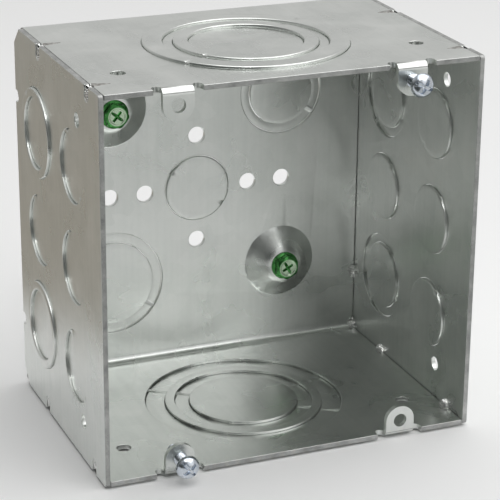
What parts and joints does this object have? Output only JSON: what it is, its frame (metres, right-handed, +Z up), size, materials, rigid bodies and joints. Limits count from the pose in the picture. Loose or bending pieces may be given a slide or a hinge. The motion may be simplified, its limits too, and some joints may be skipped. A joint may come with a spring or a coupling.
{
  "type": "electrical junction box",
  "caption": "Deep square galvanised steel junction box, open at the front, with concentric round knockouts, cover ears with screws, and ground screws on raised bosses.",
  "frame": {"origin": "centre of the back's outer face, in the middle of the circle of four mounting holes", "axes": "+Y out of the back, towards the wall behind the box; +Z up; +X to the right, seen from the open front at -Y"},
  "size_m": [0.1206, 0.0908, 0.1206],
  "materials": {
    "galvanised_sheet": "galvanised, satin, faint rolling grain",
    "knockout_sheet": "galvanised, satin, with a bright sheared edge",
    "weld": "bare weld metal, bright with heat tint",
    "zinc_screw": "bright zinc plate",
    "green_screw": "green dyed zinc plate"
  },
  "bodies": {
    "box": {"back_knockout_centre": "knockout_sheet", "back_knockout_lower_left_disc": "knockout_sheet", "back_knockout_lower_left_ring": "knockout_sheet", "back_knockout_upper_right_disc": "knockout_sheet", "back_knockout_upper_right_ring": "knockout_sheet", "bottom_knockout_disc": "knockout_sheet", "bottom_knockout_inner_ring": "knockout_sheet", "bottom_knockout_middle_ring": "knockout_sheet", "bottom_knockout_outer_ring": "knockout_sheet", "left_knockout_front_bottom": "knockout_sheet", "left_knockout_front_middle": "knockout_sheet", "left_knockout_front_top": "knockout_sheet", "left_knockout_rear_bottom_disc": "knockout_sheet", "left_knockout_rear_bottom_ring": "knockout_sheet", "left_knockout_rear_middle": "knockout_sheet", "left_knockout_rear_top_disc": "knockout_sheet", "left_knockout_rear_top_ring": "knockout_sheet", "left_side_panel": "galvanised_sheet", "right_knockout_front_bottom": "knockout_sheet", "right_knockout_front_middle": "knockout_sheet", "right_knockout_front_top": "knockout_sheet", "right_knockout_rear_bottom_disc": "knockout_sheet", "right_knockout_rear_bottom_ring": "knockout_sheet", "right_knockout_rear_middle": "knockout_sheet", "right_knockout_rear_top_disc": "knockout_sheet", "right_knockout_rear_top_ring": "knockout_sheet", "right_side_panel": "galvanised_sheet", "top_knockout_disc": "knockout_sheet", "top_knockout_inner_ring": "knockout_sheet", "top_knockout_middle_ring": "knockout_sheet", "top_knockout_outer_ring": "knockout_sheet", "weld_beads_left": "weld", "weld_beads_right": "weld", "wrap_shell": "galvanised_sheet"},
    "cover_screw_upper_right": {"cover_screw_upper_right": "zinc_screw"},
    "cover_screw_lower_left": {"cover_screw_lower_left": "zinc_screw"},
    "ground_screw_upper_left": {"ground_screw_upper_left": "green_screw"},
    "ground_screw_lower_right": {"ground_screw_lower_right": "green_screw"}
  },
  "joints": [
    {"name": "cover_screw_upper_right_travel", "type": "slide", "parent": "box", "child": "cover_screw_upper_right", "axis": [0, -1, 0], "range_m": [-0.0055, 0.0055]},
    {"name": "cover_screw_lower_left_travel", "type": "slide", "parent": "box", "child": "cover_screw_lower_left", "axis": [0, -1, 0], "range_m": [-0.0055, 0.0055]},
    {"name": "ground_screw_upper_left_travel", "type": "slide", "parent": "box", "child": "ground_screw_upper_left", "axis": [0, -1, 0], "range_m": [0, 0.0045]},
    {"name": "ground_screw_lower_right_travel", "type": "slide", "parent": "box", "child": "ground_screw_lower_right", "axis": [0, -1, 0], "range_m": [0, 0.0045]}
  ]
}
